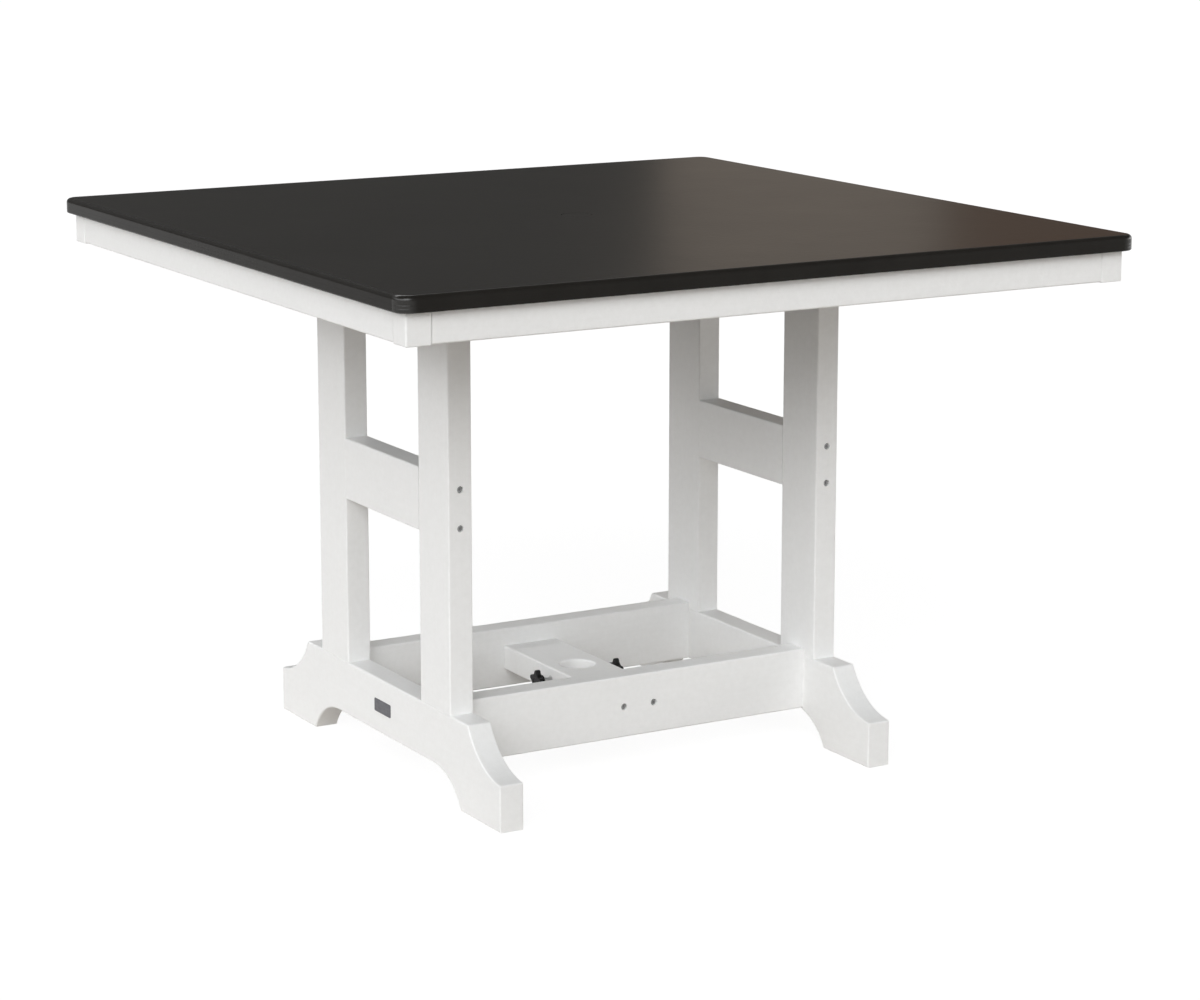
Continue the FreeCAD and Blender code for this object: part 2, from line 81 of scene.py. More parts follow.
class Side(Enum):
    """The two trestles and clamps, with the sign of their X."""

    LEFT = -1
    RIGHT = 1

    @property
    def word(self) -> str:
        """The side's name as it stands in the names of nodes and bodies."""
        return self.name.lower()


class Element(Enum):
    """What edit mode picks, with Blender's word for it."""

    POINT = "VERT"
    EDGE = "EDGE"
    FACE = "FACE"


class Drop(Enum):
    """What a level cut takes away."""

    NOTHING = 0
    ABOVE = 1
    BELOW = 2


class Bench:
    """Modelling by hand: primitives, edit-mode operators and applied modifiers."""

    @staticmethod
    def take(obj: Piece) -> None:
        """Make one object the only selected one, and the active one.

        Args:
            obj: The object to work on.
        """
        Bench.clear()
        bpy.context.view_layer.objects.active = obj
        obj.select_set(True)

    @staticmethod
    def clear() -> None:
        """Leave edit mode and select nothing."""
        if bpy.context.object and bpy.context.object.mode != "OBJECT":
            bpy.ops.object.mode_set(mode="OBJECT")
        bpy.ops.object.select_all(action="DESELECT")

    @staticmethod
    def named(name: str) -> Piece:
        """Name the new active object and put its place and scale into its mesh.

        Args:
            name: The piece's name.

        Returns:
            The active object.
        """
        obj = bpy.context.object
        obj.name = name
        obj.data.name = name
        bpy.ops.object.transform_apply(location=True, rotation=True, scale=True)
        return obj

    @classmethod
    def block(cls, name: str, low: Place, high: Place) -> Piece:
        """A box to start from, between two corners.

        Args:
            name: The piece's name.
            low: The lowest corner.
            high: The highest corner.

        Returns:
            The new object.
        """
        Bench.clear()
        middle = [(a + b) / 2 for a, b in zip(low, high)]
        span = [b - a for a, b in zip(low, high)]
        bpy.ops.mesh.primitive_cube_add(size=1, location=middle, scale=span)
        return cls.named(name)

    @classmethod
    def drum(cls, name: str, radius: float, low: float, high: float, sides: int) -> Piece:
        """A cylinder to start from, about the Z axis.

        Args:
            name: The piece's name.
            radius: Its radius.
            low: The height of its lower end.
            high: The height of its upper end.
            sides: How many sides it has.

        Returns:
            The new object.
        """
        Bench.clear()
        bpy.ops.mesh.primitive_cylinder_add(vertices=sides, radius=radius, depth=high - low,
                                            location=(0, 0, (low + high) / 2))
        return cls.named(name)

    @classmethod
    def line(cls, name: str, points: list[Place]) -> Piece:
        """An open line of edges, drawn from one point by extruding it to the next.

        Args:
            name: The piece's name.
            points: The line's points.

        Returns:
            The new object, in object mode.
        """
        Bench.clear()
        bpy.ops.mesh.primitive_plane_add(size=1, location=points[0])
        obj = cls.named(name)
        bpy.ops.object.mode_set(mode="EDIT")
        bpy.ops.mesh.select_all(action="SELECT")
        bpy.ops.mesh.merge(type="CENTER")
        for start, end in zip(points, points[1:]):
            cls.pull(*(b - a for a, b in zip(start, end)))
        bpy.ops.object.mode_set(mode="OBJECT")
        return obj

    @classmethod
    def turned(cls, name: str, points: list[Span], sides: int) -> Piece:
        """A piece turned about the Z axis from its half outline.

        Args:
            name: The piece's name.
            points: The outline's radii and heights, from the axis back to the axis.
            sides: How many steps the turn has.

        Returns:
            The new object.
        """
        obj = cls.line(name, [(radius, 0, height) for radius, height in points])
        cls.edit(obj, Element.POINT)
        bpy.ops.mesh.select_all(action="SELECT")
        bpy.ops.mesh.spin(steps=sides, angle=2 * math.pi, center=(0, 0, 0), axis=(0, 0, 1))
        return cls.outward(obj)

    @classmethod
    def pick_edges(cls, obj: Piece, wanted: Callable[[Vector, Vector], bool]) -> None:
        """Select, in edit mode, the edges that a test accepts.

        Args:
            obj: The piece.
            wanted: A test of an edge's middle and direction.
        """
        cls.edit(obj, Element.EDGE)
        for edge in bmesh.from_edit_mesh(obj.data).edges:
            a, b = (vert.co for vert in edge.verts)
            edge.select_set(wanted((a + b) / 2, (b - a).normalized()))
        bmesh.update_edit_mesh(obj.data)

    @classmethod
    def pick_faces(cls, obj: Piece, wanted: Callable[[Vector, Vector], bool]) -> None:
        """Select, in edit mode, the faces that a test accepts.

        Args:
            obj: The piece.
            wanted: A test of a face's middle and normal.
        """
        cls.edit(obj, Element.FACE)
        for face in bmesh.from_edit_mesh(obj.data).faces:
            face.select_set(wanted(face.calc_center_median(), face.normal))
        bmesh.update_edit_mesh(obj.data)

    @classmethod
    def pick_points(cls, obj: Piece, wanted: Callable[[Vector], bool]) -> None:
        """Select, in edit mode, the vertices that a test accepts.

        Args:
            obj: The piece.
            wanted: A test of a vertex's place.
        """
        cls.edit(obj, Element.POINT)
        for vert in bmesh.from_edit_mesh(obj.data).verts:
            vert.select_set(wanted(vert.co))
        bmesh.update_edit_mesh(obj.data)

    @classmethod
    def edit(cls, obj: Piece, element: Element) -> None:
        """Open a piece in edit mode with nothing selected.

        Args:
            obj: The piece.
            element: What is to be picked.
        """
        cls.take(obj)
        bpy.ops.object.mode_set(mode="EDIT")
        bpy.ops.mesh.select_mode(type=element.value)
        bpy.ops.mesh.select_all(action="DESELECT")

    @staticmethod
    def round_over(size: float, steps: int) -> None:
        """Round the picked edges over, in a number of steps."""
        bpy.ops.mesh.bevel(offset=size, segments=steps, profile=ARC)

    @staticmethod
    def pull(x: float, y: float, z: float) -> None:
        """Extrude what is picked by a step."""
        bpy.ops.mesh.extrude_region_move(TRANSFORM_OT_translate={"value": (x, y, z)})

    @classmethod
    def cut_level(cls, obj: Piece, height: float, drop: Drop = Drop.NOTHING) -> None:
        """Cut a piece by a level plane, and close the cut where a side of it is taken away.

        Args:
            obj: The piece.
            height: The plane's height.
            drop: What is taken away.
        """
        cls.edit(obj, Element.EDGE)
        bpy.ops.mesh.select_all(action="SELECT")
        bpy.ops.mesh.bisect(plane_co=(0, 0, height), plane_no=(0, 0, 1),
                            use_fill=drop != Drop.NOTHING, clear_outer=drop == Drop.ABOVE,
                            clear_inner=drop == Drop.BELOW, threshold=MERGE)
        bpy.ops.object.mode_set(mode="OBJECT")

    @classmethod
    def apply(cls, obj: Piece, kind: str, **settings: object) -> None:
        """Add a modifier to a piece and apply it.

        Args:
            obj: The piece.
            kind: The modifier's type.
            settings: The modifier's settings by name.
        """
        cls.take(obj)
        modifier = obj.modifiers.new(kind.title(), kind)
        for key, value in settings.items():
            setattr(modifier, key, value)
        bpy.ops.object.modifier_apply(modifier=modifier.name)

    @classmethod
    def carve(cls, obj: Piece, tool: Piece) -> None:
        """Take a closed tool's shape out of a piece, and throw the tool away."""
        cls.apply(obj, "BOOLEAN", operation="DIFFERENCE", object=tool, solver="EXACT")
        bpy.data.objects.remove(tool)

    @classmethod
    def fuse(cls, obj: Piece, other: Piece) -> None:
        """Take a second piece that overlaps a first into it, as one closed piece."""
        cls.apply(obj, "BOOLEAN", operation="UNION", object=other, solver="EXACT")
        bpy.data.objects.remove(other)

    @classmethod
    def copies(cls, obj: Piece, moves: list[Matrix]) -> Piece:
        """Copy a piece to several places, and join the copies into one piece.

        Args:
            obj: The piece, which is used up.
            moves: The move of each copy.

        Returns:
            The joined piece, under the first one's name.
        """
        spares = []
        for _ in moves[1:]:
            cls.take(obj)
            bpy.ops.object.duplicate(linked=False)
            spares.append(bpy.context.object)
        for piece, move in zip([obj, *spares], moves):
            cls.move(piece, move)
        cls.take(obj)
        for piece in spares:
            piece.select_set(True)
        bpy.ops.object.join()
        return obj

    @classmethod
    def outward(cls, obj: Piece) -> Piece:
        """Merge doubled vertices and turn all faces outwards.

        Args:
            obj: The piece.

        Returns:
            The same piece, in object mode.
        """
        cls.edit(obj, Element.POINT)
        bpy.ops.mesh.select_all(action="SELECT")
        bpy.ops.mesh.remove_doubles(threshold=MERGE)
        bpy.ops.mesh.normals_make_consistent(inside=False)
        bpy.ops.object.mode_set(mode="OBJECT")
        return obj

    @classmethod
    def move(cls, obj: Piece, matrix: Matrix) -> Piece:
        """Put a turn and a place into a piece's mesh, with its object left at the origin.

        Args:
            obj: The piece.
            matrix: The move.

        Returns:
            The same piece.
        """
        cls.take(obj)
        obj.matrix_world = matrix
        bpy.ops.object.transform_apply(location=True, rotation=True, scale=True)
        return obj

    @classmethod
    def smooth(cls, obj: Piece, degrees: float = 35) -> Piece:
        """Shade a piece smooth except across sharper edges.

        Args:
            obj: The piece.
            degrees: The angle past which an edge stays sharp.

        Returns:
            The same piece.
        """
        cls.take(obj)
        bpy.ops.object.shade_smooth_by_angle(angle=math.radians(degrees))
        return obj


@dataclass(frozen=True)
class Noise:
    """A noise: features for each metre, octaves, and how strong the finer octaves are."""

    scale: float
    detail: float = 3.0
    roughness: float = 0.55


class Sheet:
    """A material's or world's node tree, built node by node."""

    def __init__(self, tree: bpy.types.NodeTree) -> None:
        """Start with a tree that is emptied."""
        self.tree = tree
        self.tree.nodes.clear()

    def add(self, kind: str, inputs: dict[str | int, object] | None = None,
            **settings: object) -> bpy.types.Node:
        """Add a node.

        Args:
            kind: The node's type, without its ShaderNode prefix.
            inputs: Values or outputs for its sockets, by name or number.
            settings: The node's own settings.

        Returns:
            The new node.
        """
        node = self.tree.nodes.new("ShaderNode" + kind)
        for key, value in settings.items():
            setattr(node, key, value)
        for key, value in (inputs or {}).items():
            if isinstance(value, Socket):
                self.tree.links.new(value, node.inputs[key])
            else:
                node.inputs[key].default_value = value
        return node

    def ramp(self, source: Socket, stops: tuple[Span, ...]) -> Socket:
        """A grey ramp.

        Args:
            source: The value that runs along the ramp.
            stops: Pairs of place and brightness.

        Returns:
            The ramp's colour output.
        """
        node = self.add("ValToRGB", {"Fac": source})
        band = node.color_ramp
        while len(band.elements) < len(stops):
            band.elements.new(0.5)
        for element, (place, value) in zip(band.elements, stops):
            element.position = place
            element.color = (value, value, value, 1)
        return node.outputs["Color"]

    def blend(self, low: Colour, high: Colour, share: Socket) -> Socket:
        """The colour that lies a share of the way between two colours."""
        inputs = {"Factor": share, "A": (*low, 1), "B": (*high, 1)}
        return self.add("Mix", inputs, data_type="RGBA").outputs[2]

    def spread(self, source: Socket, to: Span = (0.0, 1.0), given: Span = MOST) -> Socket:
        """A value with the given range of it spread over another range.

        Args:
            source: The value to spread.
            to: What the ends of the range become.
            given: The ends of the range.

        Returns:
            The spread value, held between its ends.
        """
        inputs = {"Value": source, "From Min": given[0], "From Max": given[1],
                  "To Min": to[0], "To Max": to[1]}
        return self.add("MapRange", inputs).outputs["Result"]

    def math(self, operation: str, *values: object) -> Socket:
        """The result of an arithmetic step on values or outputs."""
        return self.add("Math", dict(enumerate(values)), operation=operation).outputs["Value"]

    def vector(self, operation: str, *values: object) -> bpy.types.Node:
        """A node with an arithmetic step on vectors."""
        return self.add("VectorMath", dict(enumerate(values)), operation=operation)

    def plus(self, first: Socket, second: Socket, share: float) -> Socket:
        """One value plus a share of a second one."""
        return self.math("MULTIPLY_ADD", second, share, first)

    def noise(self, place: Socket, noise: Noise) -> Socket:
        """A noise's value at a place."""
        inputs = {"Vector": place, "Scale": noise.scale, "Detail": noise.detail,
                  "Roughness": noise.roughness}
        return self.add("TexNoise", inputs).outputs["Fac"]

    def stretched(self, place: Socket, scale: Place) -> Socket:
        """A place with each of its axes scaled."""
        return self.add("Mapping", {"Vector": place, "Scale": scale}).outputs["Vector"]

    def bump(self, height: Socket, distance: float) -> Socket:
        """The normal of a relief, whose height of 1 stands for a distance in metres."""
        inputs = {"Height": height, "Strength": 1.0, "Distance": distance}
        return self.add("Bump", inputs).outputs["Normal"]

    def surface(self, **inputs: object) -> None:
        """End a material with a surface, whose sockets are named with underscores for spaces."""
        named = {key.replace("_", " "): value for key, value in inputs.items()}
        shader = self.add("BsdfPrincipled", named)
        self.add("OutputMaterial", {"Surface": shader.outputs["BSDF"]})


def new_material(name: str) -> tuple[Material, Sheet, Socket]:
    """An empty material.

    Args:
        name: Its name.

    Returns:
        The material, its sheet and the piece's own coordinates.
    """
    material = bpy.data.materials.new(name)
    material.use_nodes = True
    sheet = Sheet(material.node_tree)
    return material, sheet, sheet.add("TexCoord").outputs["Object"]


@dataclass(frozen=True)
class BoardFinish:
    """White recycled-plastic lumber: faintly mottled, with soft drawn grain and a pebbled skin."""

    pale: Colour = (0.885, 0.886, 0.881)
    shade: Colour = (0.840, 0.840, 0.832)
    drawn: Noise = Noise(260.0, 5.0, 0.6)
    drawn_stretch: float = 0.05
    mottle: Noise = Noise(120.0, 6.0, 0.65)
    pebble: Noise = Noise(420.0, 2.0, 0.5)
    drawn_in_tone: float = 0.35
    tone_span: Span = (0.45, 0.95)
    drawn_in_relief: float = 0.5
    mottle_in_relief: float = 1.2
    relief: float = 0.00015
    roughness: Span = (0.5, 0.36)
    specular: float = 0.4

    def make(self, grain: Grain) -> Material:
        """The finish for boards whose grain runs one way.

        Args:
            grain: The axis of the boards' length.

        Returns:
            The material.
        """
        material, sheet, here = new_material(f"white_lumber_{grain.name.lower()}")
        scale = [1.0, 1.0, 1.0]
        scale[grain.value] = self.drawn_stretch
        drawn = sheet.noise(sheet.stretched(here, tuple(scale)), self.drawn)
        mottle = sheet.noise(here, self.mottle)
        pebble = sheet.noise(here, self.pebble)
        tone = sheet.plus(mottle, drawn, self.drawn_in_tone)
        relief = sheet.plus(pebble, drawn, self.drawn_in_relief)
        relief = sheet.plus(relief, mottle, self.mottle_in_relief)
        share = sheet.spread(tone, given=self.tone_span)
        sheet.surface(Base_Color=sheet.blend(self.pale, self.shade, share),
                      Roughness=sheet.spread(mottle, self.roughness),
                      Specular_IOR_Level=self.specular,
                      Normal=sheet.bump(relief, self.relief))
        return material


@dataclass(frozen=True)
class SlabFinish:
    """Dark satin slab with a hammered skin."""

    deep: Colour = (0.0118, 0.0105, 0.0091)
    worn: Colour = (0.0142, 0.0127, 0.0111)
    hammer_scale: float = 110.0
    hammer_soft: float = 0.8
    relief: float = 0.00009
    cloud: Noise = Noise(7.0, 2.0)
    roughness: Span = (0.278, 0.296)
    specular: float = 0.16

    def make(self) -> Material:
        """The finish of the top and its plug.

        Returns:
            The material.
        """
        material, sheet, here = new_material("dark_slab")
        inputs = {"Vector": here, "Scale": self.hammer_scale, "Smoothness": self.hammer_soft}
        hammer = sheet.add("TexVoronoi", inputs, feature="SMOOTH_F1").outputs["Distance"]
        cloud = sheet.noise(here, self.cloud)
        sheet.surface(Base_Color=sheet.blend(self.deep, self.worn, sheet.spread(cloud)),
                      Roughness=sheet.spread(cloud, self.roughness),
                      Specular_IOR_Level=self.specular,
                      Normal=sheet.bump(hammer, self.relief))
        return material


@dataclass(frozen=True)
class EdgeFinish:
    """The slab's routed edge: smoother than its faces, with cutter lines and glossier corners."""

    deep: Colour = (0.0160, 0.0147, 0.0130)
    worn: Colour = (0.0200, 0.0184, 0.0164)
    cloud: Noise = Noise(18.0, 4.0)
    lines: Noise = Noise(1500.0)
    line_stretch: Place = (0.01, 0.01, 1.0)
    relief: float = 0.00003
    corner_span: Span = (0.535, 0.546)
    roughness: Span = (0.25, 0.17)
    specular: Span = (0.06, 0.42)

    def make(self) -> Material:
        """The finish of the edge.

        Returns:
            The material.
        """
        material, sheet, here = new_material("routed_edge")
        lines = sheet.noise(sheet.stretched(here, self.line_stretch), self.lines)
        cloud = sheet.noise(here, self.cloud)
        parts = sheet.add("SeparateXYZ", {0: here}).outputs
        nearer = sheet.math("MINIMUM", *(sheet.math("ABSOLUTE", parts[axis]) for axis in "XY"))
        sheet.surface(Base_Color=sheet.blend(self.deep, self.worn, sheet.spread(cloud)),
                      Roughness=sheet.spread(nearer, self.roughness, self.corner_span),
                      Specular_IOR_Level=sheet.spread(nearer, self.specular, self.corner_span),
                      Normal=sheet.bump(lines, self.relief))
        return material


@dataclass(frozen=True)
class MouldedFinish:
    """Black moulded plastic with a fine spark-eroded skin."""

    dark: Colour = (0.0065, 0.0065, 0.0063)
    rubbed: Colour = (0.013, 0.013, 0.0125)
    skin: Noise = Noise(2600.0, 2.0)
    relief: float = 0.00002
    cloud: Noise = Noise(160.0, 4.0)
    rubbed_span: Span = (0.5, 0.8)
    roughness: Span = (0.38, 0.52)
    specular: float = 0.3

    def make(self) -> Material:
        """The finish of the knobs.

        Returns:
            The material.
        """
        material, sheet, here = new_material("black_moulding")
        skin = sheet.noise(here, self.skin)
        cloud = sheet.noise(here, self.cloud)
        share = sheet.spread(cloud, given=self.rubbed_span)
        sheet.surface(Base_Color=sheet.blend(self.dark, self.rubbed, share),
                      Roughness=sheet.spread(cloud, self.roughness),
                      Specular_IOR_Level=self.specular,
                      Normal=sheet.bump(skin, self.relief))
        return material


@dataclass(frozen=True)
class MetalFinish:
    """A drawn or brushed metal."""

    name: str
    bright: Colour
    dull: Colour
    roughness: Span
    brush: Noise = Noise(900.0, 4.0, 0.6)
    brush_stretch: Place = (1.0, 1.0, 1.0)
    relief: float = 0.000008
    cloud: Noise = Noise(90.0, 4.0)
    dull_span: Span = (0.4, 0.7)

    def make(self) -> Material:
        """The finish of a metal piece.

        Returns:
            The material.
        """
        material, sheet, here = new_material(self.name)
        brush = sheet.noise(sheet.stretched(here, self.brush_stretch), self.brush)
        cloud = sheet.noise(here, self.cloud)
        share = sheet.spread(cloud, given=self.dull_span)
        sheet.surface(Base_Color=sheet.blend(self.bright, self.dull, share), Metallic=1.0,
                      Roughness=sheet.spread(brush, self.roughness),
                      Normal=sheet.bump(brush, self.relief))
        return material


STEEL = MetalFinish("stainless_steel", bright=(0.36, 0.36, 0.355), dull=(0.24, 0.24, 0.235),
                    roughness=(0.25, 0.41))
ZINC = MetalFinish("bright_zinc", bright=(0.74, 0.74, 0.735), dull=(0.58, 0.58, 0.575),
                   roughness=(0.31, 0.47))
PLATE = MetalFinish("satin_plate", bright=(0.165, 0.164, 0.175), dull=(0.130, 0.130, 0.140),
                    roughness=(0.35, 0.51), brush=Noise(1500.0, 4.0, 0.6),
                    brush_stretch=(1.0, 0.03, 1.0))


class Finishes:
    """Every finish of the table, made once."""

    def __init__(self) -> None:
        """Make the materials."""
        self.boards = {grain: BoardFinish().make(grain) for grain in Grain}
        self.slab = SlabFinish().make()
        self.edge = EdgeFinish().make()
        self.knob = MouldedFinish().make()
        self.steel = STEEL.make()
        self.zinc = ZINC.make()
        self.plate = PLATE.make()


def dress(node: str, material: Material) -> None:
    """Give a CAD node a finish.

    Args:
        node: The node's name.
        material: The finish.
    """
    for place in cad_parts[node].material_slots:
        place.material = material
    LOG.info("dressed %s in %s", node, material.name)


def hand_over(obj: Piece, material: Material, body: str, slot: str, *nodes: str) -> None:
    """Give a new piece its finish and its body, and hide the CAD nodes that it stands for.

    Args:
        obj: The piece.
        material: Its finish.
        body: The body that it moves with.
        slot: The record's material slot. It is not used.
        nodes: The CAD nodes that it replaces.
    """
    Bench.take(obj)
    obj.data.materials.clear()
    obj.data.materials.append(material)
    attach(obj, body)
    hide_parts(*nodes)
    faces = len(obj.data.polygons)
    LOG.info("%s stands for %s, with %d faces", obj.name, ", ".join(nodes), faces)


@dataclass
class TableTop:
    """The dark slab with its routed edge, and the plug in its umbrella hole."""

    half: float = 0.5588
    upper: float = 0.768
    thick: float = 0.022
    corner_round: float = 0.020
    corner_steps: int = 18
    edge_round: float = 0.0065
    edge_steps: int = 10
    under_round: float = 0.0025
    under_steps: int = 5
    slab_border: float = 0.0015
    slab_facing: float = 0.995
    head_bore: float = 0.0223
    head_deep: float = 0.008
    through_bore: float = 0.0203
    round_sides: int = 96
    ridge_pitch: float = 0.0019
    ridge_depth: float = 0.00009
    ridge_swing: float = 0.5
    ridge_beat: float = 2.4
    plug_head: float = 0.022
    plug_spigot: float = 0.020
    plug_wall: float = 0.004
    plug_round: float = 0.0008
    plug_steps: int = 4
    plug_border: float = 0.0004

    @property
    def lower(self) -> float:
        """The height of the slab's underside."""
        return self.upper - self.thick

    def build(self, finishes: Finishes) -> None:
        """Model and dress the slab and the plug.

        Args:
            finishes: The table's finishes.
        """
        slab = self.slab()
        hand_over(slab, finishes.slab, "frame", "dark_top", "table_top")
        slab.data.materials.append(finishes.edge)
        for face in slab.data.polygons:
            face.material_index = int(abs(face.normal.z) < self.slab_facing)
        hand_over(self.plug(), finishes.slab, "plug", "dark_top", "umbrella_plug")

    def slab(self) -> Piece:
        """The slab, rounded at corners and edges, with cutter lines and a stepped hole.

        Returns:
            The slab.
        """
        low, high = (-self.half, -self.half, self.lower), (self.half, self.half, self.upper)
        slab = Bench.block("table_slab", low, high)
        Bench.pick_edges(slab, lambda middle, way: abs(way.z) > ALONG)
        Bench.round_over(self.corner_round, self.corner_steps)
        for height, size, steps in ((self.upper, self.edge_round, self.edge_steps),
                                    (self.lower, self.under_round, self.under_steps)):
            Bench.pick_edges(slab, lambda middle, way: abs(middle.z - height) < SAME
                             and abs(way.z) < LEVEL)
            Bench.round_over(size, steps)
        Bench.pick_faces(slab, lambda middle, normal: abs(normal.z) > FLAT)
        bpy.ops.mesh.inset(thickness=self.slab_border)
        self.mark_edge(slab)
        above = self.upper + self.thick
        for radius, floor in ((self.head_bore, self.upper - self.head_deep),
                              (self.through_bore, self.lower - self.thick)):
            Bench.carve(slab, Bench.drum("bore", radius, floor, above, self.round_sides))
        return Bench.smooth(slab)

    def mark_edge(self, slab: Piece) -> None:
        """Press the shallow lines of the cutter round the upright band of the edge.

        Args:
            slab: The slab.
        """
        low, high = self.lower + self.under_round, self.upper - self.edge_round
        count = int((high - low) / self.ridge_pitch)
        beside = self.ridge_pitch / 4
        for step in range(count):
            height = low + (step + 0.5) * (high - low) / count
            for level in (height - beside, height, height + beside):
                Bench.cut_level(slab, level)
            Bench.pick_points(slab, lambda place: abs(place.z - height) < NEAR)
            depth = self.ridge_depth * (1 + self.ridge_swing * math.sin(self.ridge_beat * step))
            share = 1 - depth / self.half
            bpy.ops.transform.resize(value=(share, share, 1), center_override=(0, 0, height))

    def plug(self) -> Piece:
        """The plug: a round head with a softened rim on a hollow spigot.

        Returns:
            The plug.
        """
        ledge = self.upper - self.head_deep
        plug = Bench.drum("hole_plug", self.plug_head, ledge, self.upper, self.round_sides)
        Bench.pick_faces(plug, lambda middle, normal: normal.z < -ALONG)
        for inward, rise in ((self.plug_head - self.plug_spigot, self.lower - ledge),
                             (self.plug_wall, ledge - self.lower)):
            bpy.ops.mesh.inset(thickness=inward)
            Bench.pull(0, 0, rise)
        Bench.pick_edges(plug, lambda middle, way: abs(middle.z - self.upper) < SAME
                         and middle.xy.length > self.plug_spigot)
        Bench.round_over(self.plug_round, self.plug_steps)
        Bench.pick_faces(plug, lambda middle, normal: normal.z > FLAT
                         and middle.z > self.upper - SAME)
        bpy.ops.mesh.inset(thickness=self.plug_border)
        return Bench.smooth(Bench.outward(plug))


@dataclass
class BoardFrame:
    """The white boards: apron, corner blocks, bearers, trestles, stretchers and umbrella block."""

    along_x: tuple[str, ...] = ("apron_front", "apron_rear", "front_stretcher", "rear_stretcher")
    along_y: tuple[str, ...] = ("apron_left", "apron_right", "left_bearer", "right_bearer",
                                "left_mid_rail", "right_mid_rail", "left_foot", "right_foot",
                                "umbrella_block")
    along_z: tuple[str, ...] = ("corner_block_front_left", "corner_block_front_right",
                                "corner_block_rear_left", "corner_block_rear_right",
                                "left_front_post", "left_rear_post", "right_front_post",
                                "right_rear_post")
    hidden_pins: tuple[str, ...] = ("stretcher_dowels", "apron_dowels", "bearer_dowels")

    def build(self, finishes: Finishes) -> None:
        """Dress the boards along their grain.

        Args:
            finishes: The table's finishes.
        """
        for grain, nodes in ((Grain.ALONG_X, self.along_x), (Grain.ALONG_Y, self.along_y),
                             (Grain.ALONG_Z, self.along_z), (Grain.ALONG_X, self.hidden_pins)):
            for node in nodes:
                dress(node, finishes.boards[grain])


@dataclass
class PoleClamp:
    """One clamp screw of the umbrella block: a threaded stem, its insert and its star knob."""

    side: Side
    block_half: float = 0.04445
    height: float = 0.09165
    socket: float = 0.0254
    tip_back: float = 0.0006
    stem_radius: float = 0.004
    thread_root: float = 0.0033
    thread_pitch: float = 0.00125
    thread_steps: int = 32
    nose_long: float = 0.0022
    nose_inset: float = 0.0006
    nose_round: float = 0.0008
    nose_steps: int = 4
    stand_off: float = 0.0130
    in_knob: float = 0.009
    sharp_degrees: float = 40.0

    def build(self, finishes: Finishes) -> None:
        """Model the threaded stem, and dress the insert and knob.

        Args:
            finishes: The table's finishes.
        """
        word = self.side.word
        hand_over(self.stem(), finishes.zinc, f"{word}_knob", "steel", f"{word}_clamp_stem")
        dress(f"{word}_knob", finishes.knob)
        dress(f"{word}_threaded_insert", finishes.zinc)

    def stem(self) -> Piece:
        """The stem: a rolled thread that ends in a plain nose beside the socket.

        Returns:
            The stem.
        """
        tip = self.socket + self.tip_back - self.block_half
        shoulder, end = tip + self.nose_long, self.stand_off + self.in_knob
        stem = threaded_rod(f"{self.side.word}_clamp_thread", self.thread_root, self.stem_radius,
                            self.thread_pitch, shoulder, end, self.thread_steps)
        Bench.pick_faces(stem, lambda middle, normal: normal.z < -ALONG
                         and abs(middle.z - shoulder) < SAME)
        bpy.ops.mesh.inset(thickness=self.nose_inset)
        Bench.pull(0, 0, -self.nose_long)
        Bench.pick_edges(stem, lambda middle, way: abs(middle.z - tip) < SAME)
        Bench.round_over(self.nose_round, self.nose_steps)
        Bench.smooth(Bench.outward(stem), self.sharp_degrees)
        sign = self.side.value
        turn = Matrix.Rotation(sign * math.pi / 2, 4, "Y")
        return Bench.move(stem, Matrix.Translation((sign * self.block_half, 0, self.height)) @ turn)


def threaded_rod(name: str, root: float, crest: float, pitch: float, low: float, high: float,
                 steps: int) -> Piece:
    """A rod with a rolled thread about the Z axis, cut square at both ends.

    Args:
        name: The piece's name.
        root: The thread's inner radius.
        crest: Its outer radius.
        pitch: Its rise in a turn.
        low: The height of the rod's lower end.
        high: The height of its upper end.
        steps: How many steps a turn has.

    Returns:
        The rod.
    """
    outline = ((root, 0.0), (root, 0.12), (crest, 0.46), (crest, 0.58), (root, 0.92), (root, 1.0))
    lead, spare_turns = 1.5 * pitch, 3
    rod = Bench.line(name, [(radius, 0, low - lead + share * pitch) for radius, share in outline])
    turns = math.ceil((high - low) / pitch) + spare_turns
    Bench.apply(rod, "SCREW", axis="Z", steps=steps, render_steps=steps, iterations=turns,
                screw_offset=pitch, use_merge_vertices=True, merge_threshold=MERGE)
    Bench.cut_level(rod, low, Drop.BELOW)
    Bench.cut_level(rod, high, Drop.ABOVE)
    return Bench.outward(rod)


